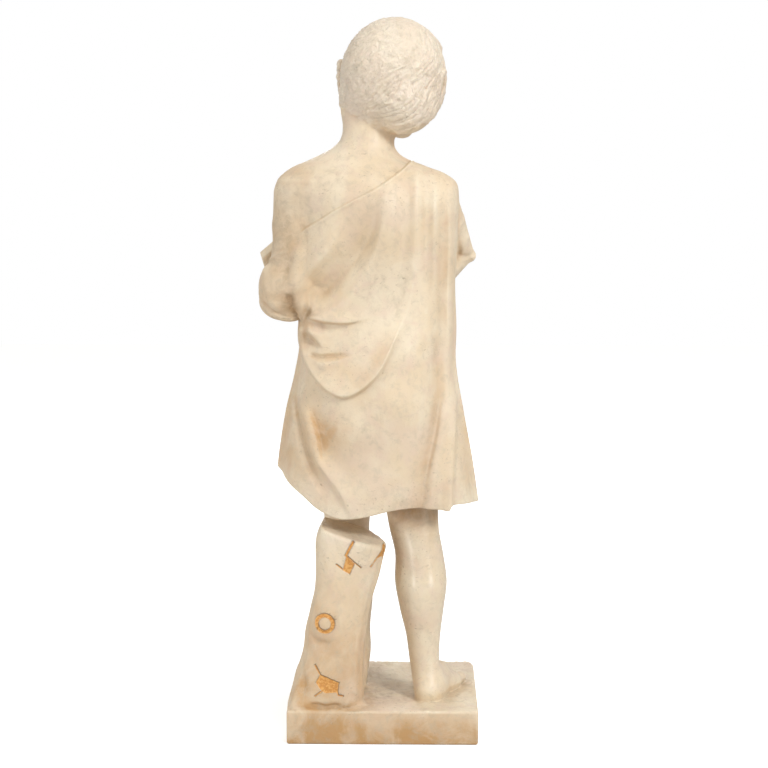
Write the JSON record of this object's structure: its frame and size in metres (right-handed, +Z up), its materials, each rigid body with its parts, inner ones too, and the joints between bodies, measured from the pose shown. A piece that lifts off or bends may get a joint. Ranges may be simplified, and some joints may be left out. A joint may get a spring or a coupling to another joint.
{
  "type": "marble statue",
  "caption": "Marble statue of a child in a short cloak, head bowed, standing beside a tree stump on a low rectangular plinth.",
  "frame": {"origin": "centre of the plinth's underside", "axes": "+Z up; the figure faces -Y, and its left side, with the stump, is +X"},
  "size_m": [0.3551, 0.3252, 1.1495],
  "materials": {
    "marble": "cream marble with fine grey flecks and honey stains, softly polished on limbs, tooled on the plinth, with gold leaf in the marks cut in the stump"
  },
  "bodies": {
    "root": {"statue": "marble"}
  },
  "joints": []
}
